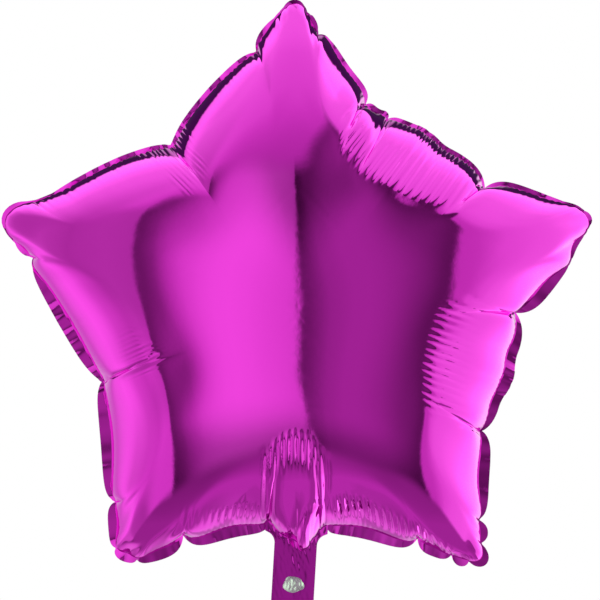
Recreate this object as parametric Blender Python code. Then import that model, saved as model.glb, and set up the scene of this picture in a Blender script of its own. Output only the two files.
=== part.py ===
"""Star foil balloon, inflated: two foil sheets welded round a five-pointed outline.

One sealed body: the swollen star with its creases and gathers, the flat margin outside the weld,
and the flat filling tail with its filling hole. Metres, +Z up. The front faces -Y, X runs to the
right as seen from the front. The origin is on the tail's front face, where the tail is held.
"""

import math

import bmesh
import bpy
import numpy as np

# Star, at the weld
ARMS = 5
TIP_RADIUS = 0.239  # centre to the point where the two edges of an arm would meet
VALLEY_RADIUS = 0.163  # centre to the point where two arms meet
TIP_ROUNDING = 0.008  # what the rounding takes off that point
# Each arm's own stretch outward, and degrees off its even place, from the top counterclockwise
ARM_STRETCH = (0.0055, -0.0013, 0.0031, 0.0007, 0.0036)
ARM_TURN = (0.2, 0.2, 0.2, -0.1, 0.0)
HALF_DEPTH = 0.088  # weld plane to the top of the swell, on each side
FULLNESS = 2.8  # power of the swell's section: 2 is an ellipse, more is flatter in the middle
ARM_THINNING = 0.10  # how much flatter the outer arms are than that section gives
ARM_THINNING_FROM = 0.040  # along an arm, where that starts
ARM_THINNING_OVER = 0.150
VALLEY_SOFTENING = 9.0  # degrees over which one arm's swell passes into the next
BULGE_REACH = 0.060  # how far inside the weld the bulges between creases fade out
EASED_WITHIN = 0.030  # of the weld, where the corners between two arms are rounded

# Margin outside the weld
MARGIN_WIDTH = 0.0085
MARGIN_AT_CREASE = 0.002
MARGIN_THICKNESS = 0.0006
MARGIN_FLATNESS = 0.6  # power of the scallop between two creases

# Tail
TAIL_WIDTH = 0.033
TAIL_LENGTH = 0.088  # from the bottom valley to the tail's end
TAIL_THICKNESS = 0.0009
TAIL_LEAN = 3.4  # degrees, the end swings to the left
TAIL_ROOT_RADIUS = 0.009  # fillet between the tail and the margin
TAIL_OVERLAP = 0.016  # how far the tail's sheet runs up inside the swell
TAIL_SIDE_SHIFT = -0.0005  # the tail's root against the star's centre line
GRIP_HEIGHT = 0.022  # the held point, above the tail's end
HOLE_DIAMETER = 0.0155
HOLE_DEPTH = 0.0004  # through the front sheet only
HOLE_ABOVE_GRIP = 0.024

# Throat, where the swell runs down into the tail, and the tongue above it
THROAT_WIDTH = 0.034
THROAT_DROP = 0.011
THROAT_REACH = 0.012
TONGUE_HEIGHT = 0.004
TONGUE_WIDTH = 0.046
TONGUE_LENGTH = 0.085

# Creases, counterclockwise from the right as seen from the front: angle in degrees, notch in the
# weld, depth just inside it, half width and length in metres, the degrees that the crease turns
# away from the star's centre, and how far the weld bulges out between it and the next one.
CREASES = (
    (11.2, 0.0005, 0.0020, 0.004, 0.012, -30.0, -0.0075),
    (16.5, 0.0018, 0.0018, 0.004, 0.010, -12.0, -0.0025),
    (19.9, 0.0005, 0.0020, 0.004, 0.010, 12.0, -0.0060),
    (35.8, 0.0130, 0.0120, 0.010, 0.055, 13.0, -0.0015),
    (64.4, 0.0065, 0.0060, 0.007, 0.055, -10.0, -0.0105),
    (70.1, 0.0120, 0.0120, 0.010, 0.055, -35.0, -0.0100),
    (84.9, 0.0080, 0.0050, 0.006, 0.022, -25.0, -0.0055),
    (88.2, 0.0030, 0.0020, 0.004, 0.010, -12.0, 0.0000),
    (92.5, 0.0005, 0.0015, 0.004, 0.010, 12.0, -0.0020),
    (99.1, 0.0045, 0.0040, 0.006, 0.024, 28.0, 0.0005),
    (126.9, 0.0010, 0.0090, 0.011, 0.060, 6.0, 0.0005),
    (157.3, 0.0005, 0.0025, 0.005, 0.014, -25.0, 0.0045),
    (164.4, 0.0005, 0.0015, 0.004, 0.010, 12.0, -0.0035),
    (168.3, 0.0070, 0.0040, 0.006, 0.018, 25.0, -0.0030),
    (199.1, 0.0042, 0.0100, 0.011, 0.075, 9.0, -0.0055),
    (225.0, 0.0050, 0.0040, 0.006, 0.020, -36.0, -0.0050),
    (232.0, 0.0006, 0.0015, 0.004, 0.010, -12.0, -0.0075),
    (236.6, 0.0005, 0.0015, 0.004, 0.010, 12.0, -0.0040),
    (244.5, 0.0120, 0.0060, 0.007, 0.034, 34.0, -0.0085),
    (262.8, 0.0070, 0.0080, 0.006, 0.080, 7.0, 0.0000),
    (276.0, 0.0045, 0.0080, 0.006, 0.080, -6.0, -0.0075),
    (296.7, 0.0095, 0.0050, 0.006, 0.024, -36.0, -0.0050),
    (302.5, 0.0026, 0.0020, 0.004, 0.012, -16.0, -0.0015),
    (305.0, 0.0005, 0.0015, 0.004, 0.010, -4.0, 0.0050),
    (308.5, 0.0017, 0.0015, 0.004, 0.010, 8.0, -0.0020),
    (311.9, 0.0045, 0.0030, 0.005, 0.016, 24.0, -0.0060),
    (328.7, 0.0090, 0.0110, 0.010, 0.065, 14.0, -0.0025),
    (358.2, 0.0150, 0.0130, 0.011, 0.075, -20.0, -0.0055),
)

# Gathers between creases: first and last angle, ribs, where they start and end inside the weld,
# and their height.
GATHERS = (
    (37.5, 67.5, 18, 0.006, 0.052, 0.0014),
    (-30.0, -3.5, 14, 0.010, 0.080, 0.0016),
    (264.0, 275.0, 9, 0.045, 0.095, 0.0014),
    (278.0, 295.0, 12, 0.004, 0.034, 0.0012),
)

# Mesh: rings by their share of the way from the weld to the centre, then every how many columns
# each ring keeps, and the columns' widest spacing.
RINGS = (
    (0.0, 1),
    (0.012, 1),
    (0.040, 1),
    (0.09, 1),
    (0.16, 1),
    (0.25, 1),
    (0.36, 2),
    (0.50, 2),
    (0.68, 4),
    (0.85, 8),
)
COLUMN_SPACING = 5.0
CREASE_SHOULDER = 0.012  # of the weld's radius, between a crease's bottom and its shoulder
TIP_COLUMNS = (0.0, 0.5, 1.2, 3.2, 5.0)  # degrees either side of an arm's axis

FOIL = (0.62, 0.02, 0.47, 1.0)

SECTOR = 360.0 / ARMS
FIRST_TIP = 90.0
HALF_ANGLE = math.atan2(
    VALLEY_RADIUS * math.sin(math.radians(SECTOR / 2)),
    TIP_RADIUS - VALLEY_RADIUS * math.cos(math.radians(SECTOR / 2)),
)  # of an arm's point
EDGE_DISTANCE = TIP_RADIUS * math.sin(HALF_ANGLE)  # centre to the line of an arm's edge
EDGE_NORMAL = math.pi / 2 - HALF_ANGLE  # of an arm's edge, from the arm's axis
ROUNDING = (1 - (1 - TIP_ROUNDING / TIP_RADIUS) ** FULLNESS) * (1 - ARM_THINNING)

TAIL_TURN = math.radians(TAIL_LEAN)
DOWN_TAIL = np.array((-math.sin(TAIL_TURN), -math.cos(TAIL_TURN)))
ACROSS_TAIL = np.array((math.cos(TAIL_TURN), -math.sin(TAIL_TURN)))
TAIL_ROOT = -DOWN_TAIL * (TAIL_LENGTH - GRIP_HEIGHT)
CENTRE = TAIL_ROOT + np.array((-TAIL_SIDE_SHIFT, VALLEY_RADIUS))
WELD_PLANE = TAIL_THICKNESS / 2  # so that the tail's front face is the plane Y = 0


def swell_of_arm(radius, off_axis):
    """Square of the swell's share of its full depth, from the two edges of one arm."""
    shares = []
    for side in (1, -1):
        out = radius / EDGE_DISTANCE * np.cos(off_axis - side * EDGE_NORMAL)
        shares.append(1 - np.clip(out, 0, 1) ** FULLNESS)
    outward = (radius * np.cos(off_axis) - ARM_THINNING_FROM) / ARM_THINNING_OVER
    thinned = 1 - ARM_THINNING * ease(outward)
    return shares[0] * shares[1] * thinned**2


def swell(radius, angle):
    """Square of the swell's share of its full depth at a place in the weld plane, below 0 outside."""
    off_axis = (angle - math.radians(FIRST_TIP - SECTOR / 2)) % math.radians(SECTOR)
    off_axis = off_axis - math.radians(SECTOR / 2)
    side = np.where(off_axis < 0, -1.0, 1.0)
    own = swell_of_arm(radius, off_axis)
    neighbour = swell_of_arm(radius, off_axis - side * math.radians(SECTOR))
    inward = np.clip(1 - radius / VALLEY_RADIUS, 0, 1)
    width = math.radians(VALLEY_SOFTENING) * inward + 1e-6
    past = np.clip((math.radians(SECTOR / 2) - np.abs(off_axis)) / width, 0, 1)
    weight = 0.5 + 0.5 * past * past * (3 - 2 * past)
    return (weight * own + (1 - weight) * neighbour - ROUNDING**2) / (1 - ROUNDING**2)


def weld_radius(angle):
    """Distance from the centre to the weld, found by halving."""
    low = np.zeros_like(angle)
    high = np.full_like(angle, TIP_RADIUS)
    for _ in range(40):
        middle = (low + high) / 2
        inside = swell(middle, angle) > 0
        low = np.where(inside, middle, low)
        high = np.where(inside, high, middle)
    return low


def place(radius, angle):
    return np.stack((radius * np.cos(angle), radius * np.sin(angle)), axis=-1)


def slope(points):
    """Gradient of the swell in the weld plane."""
    step = 0.0003
    found = []
    for axis in range(2):
        ahead, behind = points.copy(), points.copy()
        ahead[..., axis] += step
        behind[..., axis] -= step
        values = [
            swell(np.hypot(p[..., 0], p[..., 1]), np.arctan2(p[..., 1], p[..., 0]))
            for p in (ahead, behind)
        ]
        found.append((values[0] - values[1]) / (2 * step))
    return np.stack(found, axis=-1)


def column(angle, inward):
    """Radius and angle of the place that lies inward, from 0 to 1, along the column from the weld.

    A column leans as the creases beside it do, and comes back to run straight to the centre.
    """
    angles = np.radians([c[0] for c in CREASES])
    turn = angle % (2 * math.pi)
    lean = np.interp(turn, angles, np.radians([c[5] for c in CREASES]), period=2 * math.pi)
    reach = np.interp(turn, angles, [c[4] for c in CREASES], period=2 * math.pi)
    reach = reach / VALLEY_RADIUS
    aside = np.tan(lean) * reach * (1 - np.exp(-inward / reach)) * (1 - inward) ** 2
    return weld_radius(angle) * (1 - inward), angle - aside


def outward_at(angle):
    """Direction square to the weld in its plane, eased round the corners where two arms meet."""
    total = np.zeros(angle.shape + (2,))
    for off in (-4.0, -2.0, 0.0, 2.0, 4.0):
        near = angle + math.radians(off)
        total -= slope(place(weld_radius(near), near))
    return total / np.linalg.norm(total, axis=-1, keepdims=True)


def ease(share):
    share = np.clip(share, 0, 1)
    return share * share * (3 - 2 * share)


def crease_depth(angle, inward, points):
    """How far the creases draw the surface in."""
    depth = np.zeros(points.shape[:-1])
    distance = inward * weld_radius(angle)
    for at, notch, deep, half_width, length, *_ in CREASES:
        line = place(*column(np.full_like(angle, math.radians(at)), inward))
        across = np.linalg.norm(points - line, axis=-1)
        along = notch + (deep - notch) * ease(distance / (length / 5))
        along = along * (1 - ease(distance / length))
        depth = np.maximum(depth, np.exp(-across / half_width) * along)
    return depth


def span_share(angle):
    """The number of the crease before each angle, and the share of the way to the next one."""
    angles = np.array([c[0] for c in CREASES])
    turn = np.degrees(angle) % 360.0
    after = np.searchsorted(angles, turn, side="right") % len(angles)
    before = (after - 1) % len(angles)
    span = (angles[after] - angles[before]) % 360.0
    return before, ((turn - angles[before]) % 360.0) / span


def bulge_height(angle, inward):
    """How far the weld and the foil next to it bulge out between two creases."""
    before, share = span_share(angle)
    bulges = np.array([c[6] for c in CREASES])
    fade = 1 - ease(inward * weld_radius(angle) / BULGE_REACH)
    return bulges[before] * np.sin(math.pi * share) * fade


def gather_height(angle, inward):
    """How far the ribs of the gathers stand out: rounded crests between sharp folds."""
    height = np.zeros_like(angle)
    distance = inward * weld_radius(angle)
    for first, last, ribs, start, end, high in GATHERS:
        turn = (np.degrees(angle) - first) % 360.0
        share = turn / (last - first)
        wave = 2 * np.abs(np.sin(math.pi * ribs * share)) - 1
        across = ease(np.minimum(share, 1 - share) * ribs / 2) * (share <= 1)
        reach = (distance - start) / (end - start)
        along = ease(reach / 0.4) * (1 - ease((reach - 0.6) / 0.4))
        height = height + high * wave * across * along
    return height


def throat_height(angle, inward, points):
    """The swell's run down into the tail, and the tongue above it."""
    distance = inward * weld_radius(angle)
    across = points[..., 0] - TAIL_SIDE_SHIFT
    below = points[..., 1] < 0
    throat = np.exp(-((2 * across / THROAT_WIDTH) ** 4) - (distance / THROAT_REACH) ** 2)
    tongue = np.exp(-((2 * across / TONGUE_WIDTH) ** 4)) * (1 - ease(distance / TONGUE_LENGTH))
    rise = ease(distance / THROAT_REACH)
    return below * (THROAT_DROP * throat + TONGUE_HEIGHT * tongue * rise)


def surface(angle, inward):
    """Place in the weld plane and height over it of the swollen foil."""
    points = place(*column(angle, inward))
    radius = np.hypot(points[..., 0], points[..., 1])
    share = np.clip(swell(radius, np.arctan2(points[..., 1], points[..., 0])), 0, None)
    height = HALF_DEPTH * np.sqrt(np.where(inward == 0, 0, share))
    steepness = -slope(points) * HALF_DEPTH**2 / 2
    steep = np.linalg.norm(steepness, axis=-1)
    normal_length = np.hypot(steep, height)
    near_weld = 1 - ease(inward * weld_radius(angle) / EASED_WITHIN)[..., None]
    aside = steepness / steep[..., None] * (1 - near_weld) + outward_at(angle) * near_weld
    aside = aside / np.linalg.norm(aside, axis=-1, keepdims=True)
    push = (
        gather_height(angle, inward)
        + bulge_height(angle, inward)
        + throat_height(angle, inward, points)
        - crease_depth(angle, inward, points)
    )
    points = points + aside * (push * steep / normal_length)[..., None]
    return points, np.maximum(height + push * height / normal_length, height * 0.3)


def margin_width(angle):
    """The margin's width: scallops between creases."""
    _, share = span_share(angle)
    scallop = np.sin(math.pi * np.clip(share, 0, 1)) ** MARGIN_FLATNESS
    return MARGIN_AT_CREASE + (MARGIN_WIDTH - MARGIN_AT_CREASE) * scallop


def column_angles():
    """Where the surface's columns leave the weld: on each crease, rib and tip, and evenly between."""
    shoulder = math.degrees(CREASE_SHOULDER)
    found = []
    for at, *_ in CREASES:
        found += [at - shoulder, at, at + shoulder]
    for first, last, ribs, *_ in GATHERS:
        steps = 2 * ribs
        found += [first + (last - first) * i / steps for i in range(steps + 1)]
    for arm in range(ARMS):
        axis = FIRST_TIP + SECTOR * arm
        for off in TIP_COLUMNS:
            found += [axis - off, axis + off]
    found = sorted({round(a % 360.0, 6) for a in found})
    kept = [found[0]]
    for angle in found[1:]:
        if angle - kept[-1] > 0.35:
            kept.append(angle)
    angles = []
    for here, after in zip(kept, kept[1:] + [kept[0] + 360.0]):
        steps = max(1, math.ceil((after - here) / COLUMN_SPACING))
        angles += [here + (after - here) * i / steps for i in range(steps)]
    return np.radians(np.array(angles))


def stitch(outer, outer_angles, inner, inner_angles, inside_out):
    """Triangles between two closed rings of points, matched by their angles."""
    outer_turn = list(outer_angles) + [outer_angles[0] + 2 * math.pi]
    inner_turn = list(inner_angles) + [inner_angles[0] + 2 * math.pi]
    faces = []
    i = j = 0
    while i < len(outer) or j < len(inner):
        step_outer = j == len(inner) or (
            i < len(outer) and outer_turn[i + 1] <= inner_turn[j + 1]
        )
        here, there = outer[i % len(outer)], inner[j % len(inner)]
        if step_outer:
            faces.append((here, outer[(i + 1) % len(outer)], there))
            i += 1
        else:
            faces.append((here, inner[(j + 1) % len(inner)], there))
            j += 1
    return [face[::-1] for face in faces] if inside_out else faces


class Rings:
    """Collects the points and faces of a surface made of closed rings."""

    def __init__(self):
        self.points = []
        self.faces = []

    def add(self, points):
        start = len(self.points)
        self.points += [tuple(p) for p in points]
        return list(range(start, start + len(points)))


def stretched(points):
    """Places in the weld plane after each arm has its own length and turn."""
    radius = np.hypot(points[..., 0], points[..., 1])
    angle = np.arctan2(points[..., 1], points[..., 0])
    turn, stretch = np.zeros_like(angle), np.zeros_like(angle)
    for arm in range(ARMS):
        axis = math.radians(FIRST_TIP + SECTOR * arm)
        off = (angle - axis + math.pi) % (2 * math.pi) - math.pi
        near = np.cos(np.clip(off * ARMS / 2, -math.pi / 2, math.pi / 2)) ** 2
        turn += near * math.radians(ARM_TURN[arm])
        stretch += near * ARM_STRETCH[arm]
    share = radius / TIP_RADIUS
    return place(radius + stretch * share**3, angle + turn * share)


def foil_ring(angles, inward, side):
    """Points of one ring of the swollen foil; side is -1 on the front and 1 on the back."""
    points, height = surface(angles, np.full_like(angles, inward))
    points = stretched(points)
    depth = WELD_PLANE + side * (height + MARGIN_THICKNESS / 2)
    return np.stack((CENTRE[0] + points[:, 0], depth, CENTRE[1] + points[:, 1]), axis=-1)


def margin_ring(angles, side):
    """Points of the margin's outer edge on one side."""
    points, _ = surface(angles, np.zeros_like(angles))
    points = stretched(points + outward_at(angles) * margin_width(angles)[:, None])
    depth = np.full(len(angles), WELD_PLANE + side * MARGIN_THICKNESS / 2)
    return np.stack((CENTRE[0] + points[:, 0], depth, CENTRE[1] + points[:, 1]), axis=-1)


def swollen_star():
    """The closed body of the balloon without its tail."""
    angles = column_angles()
    mesh = Rings()
    rims = []
    for side in (-1, 1):
        turned = side > 0
        rim = mesh.add(margin_ring(angles, side))
        rims.append(rim)
        outer, outer_angles = rim, angles
        for inward, every in RINGS:
            kept = angles[::every]
            ring = mesh.add(foil_ring(kept, inward, side))
            mesh.faces += stitch(outer, outer_angles, ring, kept, turned)
            outer, outer_angles = ring, kept
        top = WELD_PLANE + side * (HALF_DEPTH + MARGIN_THICKNESS / 2)
        (pole,) = mesh.add([(CENTRE[0], top, CENTRE[1])])
        for here, after in zip(outer, outer[1:] + outer[:1]):
            face = (here, after, pole)
            mesh.faces.append(face[::-1] if turned else face)
    mesh.faces += stitch(rims[1], angles, rims[0], angles, False)
    return mesh


def tail_outline():
    """The tail's outline in the weld plane, with a fillet on each side of its root."""
    half = TAIL_WIDTH / 2
    end = TAIL_LENGTH
    corner = 0.0015
    steps = 6
    side = [(half, end - corner), (half - corner, end)]
    root = TAIL_ROOT_RADIUS
    fillet = [
        (
            half + root * (1 - math.sin(math.pi / 2 * i / steps)),
            MARGIN_WIDTH + root * (1 - math.cos(math.pi / 2 * i / steps)) - root * 0.2,
        )
        for i in range(steps + 1)
    ]
    right = [(half + root * 0.6, -TAIL_OVERLAP)] + fillet + side
    both = right + [(-x, y) for x, y in reversed(right)]
    return [TAIL_ROOT + ACROSS_TAIL * x + DOWN_TAIL * y for x, y in both]


def mesh_from_curve(curve_object):
    """Turns a curve object into a mesh object with welded caps."""
    graph = bpy.context.evaluated_depsgraph_get()
    mesh = bpy.data.meshes.new_from_object(curve_object.evaluated_get(graph))
    welded = bmesh.new()
    welded.from_mesh(mesh)
    bmesh.ops.remove_doubles(welded, verts=welded.verts, dist=1e-6)
    bmesh.ops.recalc_face_normals(welded, faces=welded.faces)
    welded.to_mesh(mesh)
    welded.free()
    made = bpy.data.objects.new(curve_object.name + "_mesh", mesh)
    made.matrix_world = curve_object.matrix_world
    bpy.data.objects.remove(curve_object)
    return made


def tail_sheet():
    """The flat tail, as a mesh object whose front face is the plane Y = 0."""
    curve = bpy.data.curves.new("tail", "CURVE")
    curve.dimensions = "2D"
    curve.fill_mode = "BOTH"
    curve.extrude = TAIL_THICKNESS / 2
    outline = tail_outline()
    spline = curve.splines.new("POLY")
    spline.points.add(len(outline) - 1)
    for point, (x, z) in zip(spline.points, outline):
        point.co = (x, z, 0, 1)
    spline.use_cyclic_u = True
    sheet = bpy.data.objects.new("tail", curve)
    sheet.rotation_euler = (math.pi / 2, 0, 0)
    sheet.location = (0, WELD_PLANE, 0)
    bpy.context.scene.collection.objects.link(sheet)
    bpy.context.view_layer.update()
    return mesh_from_curve(sheet)


def hole_cutter():
    """The filling hole, a shallow round recess in the tail's front face."""
    mesh = bpy.data.meshes.new("filling_hole_cutter")
    cylinder = bmesh.new()
    bmesh.ops.create_cone(
        cylinder,
        cap_ends=True,
        segments=32,
        radius1=HOLE_DIAMETER / 2,
        radius2=HOLE_DIAMETER / 2,
        depth=2 * HOLE_DEPTH,
    )
    cylinder.to_mesh(mesh)
    cylinder.free()
    cutter = bpy.data.objects.new("filling_hole_cutter", mesh)
    cutter.rotation_euler = (math.pi / 2, 0, 0)
    x, z = -DOWN_TAIL * HOLE_ABOVE_GRIP
    cutter.location = (x, 0, z)
    return cutter


def boolean(target, other, operation):
    cut = target.modifiers.new(other.name, "BOOLEAN")
    cut.operation = operation
    cut.object = other


def new_collection(name):
    collection = bpy.data.collections.new(name)
    bpy.context.scene.collection.children.link(collection)
    return collection


def foil_material():
    material = bpy.data.materials.new("foil")
    material.use_nodes = True
    shader = material.node_tree.nodes["Principled BSDF"]
    shader.inputs["Base Color"].default_value = FOIL
    shader.inputs["Metallic"].default_value = 1.0
    shader.inputs["Roughness"].default_value = 0.16
    return material


def main():
    for old in list(bpy.data.objects):
        bpy.data.objects.remove(old)
    parts = new_collection("star_foil_balloon")
    helpers = new_collection("cutters")
    star = swollen_star()
    mesh = bpy.data.meshes.new("balloon")
    mesh.from_pydata(star.points, [], star.faces)
    mesh.materials.append(foil_material())
    mesh.shade_smooth()
    mesh.set_sharp_from_angle(angle=math.radians(50))
    balloon = bpy.data.objects.new("balloon", mesh)
    parts.objects.link(balloon)
    for helper, operation in ((tail_sheet(), "UNION"), (hole_cutter(), "DIFFERENCE")):
        helper.hide_render = True
        helper.display_type = "WIRE"
        helpers.objects.link(helper)
        boolean(balloon, helper, operation)


main()
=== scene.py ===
"""Star foil balloon: the foil with its creases, gathers, weld margin and tail, in a plain studio.

Metres, in the same frame as the CAD part: +Z up, the front faces -Y, and the origin is on the
front face of the tail, where it is held.
"""

import math

import bpy
import numpy as np
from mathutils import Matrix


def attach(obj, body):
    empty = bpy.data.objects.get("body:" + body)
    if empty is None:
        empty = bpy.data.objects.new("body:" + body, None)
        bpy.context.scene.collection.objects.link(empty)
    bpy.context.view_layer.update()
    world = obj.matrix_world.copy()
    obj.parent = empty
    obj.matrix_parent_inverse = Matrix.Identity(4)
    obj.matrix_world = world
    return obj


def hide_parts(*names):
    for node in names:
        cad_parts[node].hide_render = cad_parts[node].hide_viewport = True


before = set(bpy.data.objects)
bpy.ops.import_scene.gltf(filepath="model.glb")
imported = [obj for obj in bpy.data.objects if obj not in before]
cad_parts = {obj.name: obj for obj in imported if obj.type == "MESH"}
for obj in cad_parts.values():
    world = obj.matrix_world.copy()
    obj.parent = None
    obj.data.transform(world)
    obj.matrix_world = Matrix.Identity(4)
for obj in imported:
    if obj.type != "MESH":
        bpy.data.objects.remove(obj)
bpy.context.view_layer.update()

# ---------------------------------------------------------------- the star, as in the CAD part
ARMS = 5
TIP_RADIUS = 0.239
VALLEY_RADIUS = 0.163
TIP_ROUNDING = 0.008
ARM_STRETCH = (0.0055, -0.0013, 0.0031, 0.0007, 0.0036)
ARM_TURN = (0.2, 0.2, 0.2, -0.1, 0.0)
HALF_DEPTH = 0.088
FULLNESS = 2.8
ARM_THINNING = 0.10
ARM_THINNING_FROM = 0.040
ARM_THINNING_OVER = 0.150
VALLEY_SOFTENING = 9.0
BULGE_REACH = 0.060
BULGE_BLUR = 0.7
EASED_WITHIN = 0.030
MARGIN_WIDTH = 0.0085
MARGIN_AT_CREASE = 0.002
MARGIN_FLATNESS = 0.6
TAIL_WIDTH = 0.033
TAIL_LENGTH = 0.088
TAIL_THICKNESS = 0.0009
TAIL_LEAN = 3.4
TAIL_ROOT_RADIUS = 0.009
TAIL_OVERLAP = 0.016
TAIL_SIDE_SHIFT = -0.0005
GRIP_HEIGHT = 0.022
HOLE_DIAMETER = 0.0125
HOLE_ABOVE_GRIP = 0.019
HOLE_WIDENING = 1.3
THROAT_WIDTH = 0.034
THROAT_DROP = 0.011
THROAT_REACH = 0.012

# Creases: angle, notch in the weld, depth inside it, half width, length, lean and bulge to the next
# one, in degrees and millimetres
CREASES_IN_MM = (
    (11.2, 0.5, 2, 4, 12, -30, -7.5),
    (16.5, 1.8, 1.8, 4, 10, -12, -2.5),
    (19.9, 0.5, 2, 4, 10, 12, -6),
    (35.8, 13, 12, 10, 55, 13, -1.5),
    (64.4, 6.5, 6, 7, 55, -10, -10.5),
    (70.1, 12, 12, 10, 55, -35, -10),
    (84.9, 8, 5, 6, 22, -25, -5.5),
    (88.2, 3, 2, 4, 10, -12, 0),
    (92.5, 0.5, 1.5, 4, 10, 12, -2),
    (99.1, 4.5, 4, 6, 24, 28, 0.5),
    (126.9, 1, 9, 11, 60, 6, 0.5),
    (157.3, 0.5, 2.5, 5, 14, -25, 4.5),
    (164.4, 0.5, 1.5, 4, 10, 12, -3.5),
    (168.3, 7, 4, 6, 18, 25, -3),
    (199.1, 4.2, 10, 11, 75, 9, -5.5),
    (225, 5, 4, 6, 20, -36, -5),
    (232, 0.6, 1.5, 4, 10, -12, -7.5),
    (236.6, 0.5, 1.5, 4, 10, 12, -4),
    (244.5, 12, 6, 7, 34, 34, -8.5),
    (262.8, 7, 8, 6, 80, 7, 0),
    (276, 4.5, 8, 6, 80, -6, -7.5),
    (296.7, 9.5, 5, 6, 24, -36, -5),
    (302.5, 2.6, 2, 4, 12, -16, -1.5),
    (305, 0.5, 1.5, 4, 10, -4, 5),
    (308.5, 1.7, 1.5, 4, 10, 8, -2),
    (311.9, 4.5, 3, 5, 16, 24, -6),
    (328.7, 9, 11, 10, 65, 14, -2.5),
    (358.2, 15, 13, 11, 75, -20, -5.5),
)
CREASES = [
    (at, *(size / 1000 for size in sizes), lean, bulge / 1000)
    for at, *sizes, lean, bulge in CREASES_IN_MM
]
CREASE_ANGLES, CREASE_LENGTHS, CREASE_LEANS, CREASE_BULGES = np.array(CREASES).T[[0, 4, 5, 6]]

# ---------------------------------------------------------------- detail finer than the CAD part
# Pleats: direction in degrees, spacing, height, how far past the inner edge they are full, held
# and gone, and the inner edge as places across and along that direction, in millimetres
PLEATS = (
    (53.0, 6.4, 0.0005, 4, 16, 36, (
        (-60, 131), (-50, 120), (-37, 116), (-22, 115), (8, 121), (30, 129), (48, 136),
    )),
    (-18.0, 5.6, 0.0005, 4, 16, 34, (
        (-50, 113), (-40, 103), (-20, 101), (7, 104), (24, 110), (36, 116), (43, 122),
    )),
    (-90.0, 5.1, 0.00075, 4, 10, 30, (
        (-20, 112), (-15, 99), (-8, 93), (3, 90), (14, 93), (21, 99), (26, 112),
    )),
    (-86.0, 5.6, 0.00085, 4, 13, 24, (
        (-109, 188), (-98, 180), (-89, 173), (-77, 163), (-65, 159),
        (-52, 153), (-40, 143), (-27, 141), (-15, 143),
    )),
    (-94.0, 5.4, 0.00035, 4, 9, 18, ((17, 146), (30, 151), (46, 154), (61, 154), (81, 153))),
    (137.6, 3.6, 0.00022, 8, 14, 30, ((8, 124), (16, 121), (26, 119), (40, 126))),
    (205.0, 3.8, 0.00012, 6, 10, 34, ((6, 108), (20, 104), (46, 108))),
)
# The lobe above the neck: its middle, half width, where its arch starts and the arch's height
LOBE_MIDDLE, LOBE_HALF = -0.0031, 0.0248
LOBE_SHOULDER, LOBE_ARCH = -0.118, 0.030
LOBE_LIFT = 0.0030
LOBE_SIDE, LOBE_TOP = 0.16, 0.030  # how gently it starts, at its sides and at its arch
# Where the foil bridges a valley: angle, half width in degrees and height
BRIDGES = ((342.5, 8.0, 0.0062), (54.5, 8.0, 0.0052))
BRIDGE_REACH = 0.050
# The arms thin out from these distances to the last one, each by its own share
TIP_FROM = (0.196, 0.180, 0.182, 0.182, 0.196)
TIP_END = 0.243
TIP_SHARE = (1.0, 1.0, 0.45, 0.45, 1.0)
LEAST_THINNED = 0.95
# How far the foil reaches over the margin before and after each tip, and over which angles
TIP_EXTRA_BEFORE = (0.0052, 0.0052, 0.0020, 0.0020, 0.0052)
TIP_EXTRA_AFTER = (0.0052, 0.0052, 0.0008, 0.0026, 0.0052)
TIP_SPAN = 8.0
TIP_CHANGE = 3.0
LEAST_MARGIN = 0.0012
# Crease lines: depth in metres, half width and places across and up from the star's centre, in
# millimetres. They fade out over the last part of their last stretch.
LINE_LEFT, LINE_FADE = 0.15, 0.6
LINES = (
    (0.0011, 1.0, ((59.4, 164.5), (48.5, 160.6), (39.2, 153.6), (31.4, 144.3))),
    (0.0010, 1.0, ((73.3, 150.5), (60.1, 128.8), (46.2, 107.1))),
    (0.0010, 1.0, ((144.7, 105.5), (133.9, 96.2), (126.1, 86.1), (121.4, 79.2))),
    (0.0008, 1.0, ((171.9, -6.2), (161.0, 0.0), (141.6, 8.5), (125.3, 14.0))),
    (0.0006, 1.0, ((146.3, -92.3), (133.9, -87.7), (123.8, -86.1))),
    (0.0007, 1.0, ((-102.0, 132.7), (-88.9, 119.5), (-73.3, 102.4))),
    (0.0009, 0.9, ((-152.5, -53.5), (-147.1, -48.9), (-139.3, -47.3), (-130.0, -42.7),
        (-120.7, -37.2), (-112.9, -34.1), (-105.1, -27.9))),
    (0.00016, 1.8, ((-3.5, 222.7), (-17.5, 204.9), (-25.2, 195.6), (-27.5, 185.5),
        (-44.6, 158.3), (-71.8, 133.5))),
    (0.00014, 1.8, ((-3.5, 222.7), (3.5, 212.6), (9.7, 208.7), (13.6, 193.2), (25.2, 173.8),
        (33.8, 158.3))),
    (0.0006, 1.0, ((-26.0, -104.0), (-26.8, -121.1), (-25.2, -136.6), (-22.9, -150.5))),
    (0.0006, 1.0, ((19.0, -105.5), (20.6, -124.9), (19.8, -140.5), (18.2, -152.1))),
    (0.0006, 1.0, ((23.7, -109.4), (24.4, -124.9), (23.7, -138.1))),
    (0.00025, 1.2, ((-21.3, -126.5), (-10.5, -128.8), (1.9, -127.3), (15.9, -128.0))),
    (0.0002, 1.4, ((23.7, -126.5), (36.9, -129.6), (51.6, -132.7))),
    (0.0006, 1.0, ((-144.7, -142.0), (-140.1, -141.2), (-136.2, -142.8))),
    (0.0016, 1.2, ((19.0, -142.0), (12.0, -142.8), (5.8, -145.9), (1.9, -151.3),
        (-0.4, -156.8), (-1.2, -163.0), (-0.4, -168.4))),
    (0.0005, 0.9, ((-15.9, -156.0), (-11.3, -163.7), (-10.5, -173.0), (-5.8, -179.3))),
    (0.0005, 0.9, ((-20.6, -165.3), (-13.6, -168.4), (-5.0, -167.6))),
)
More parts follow.
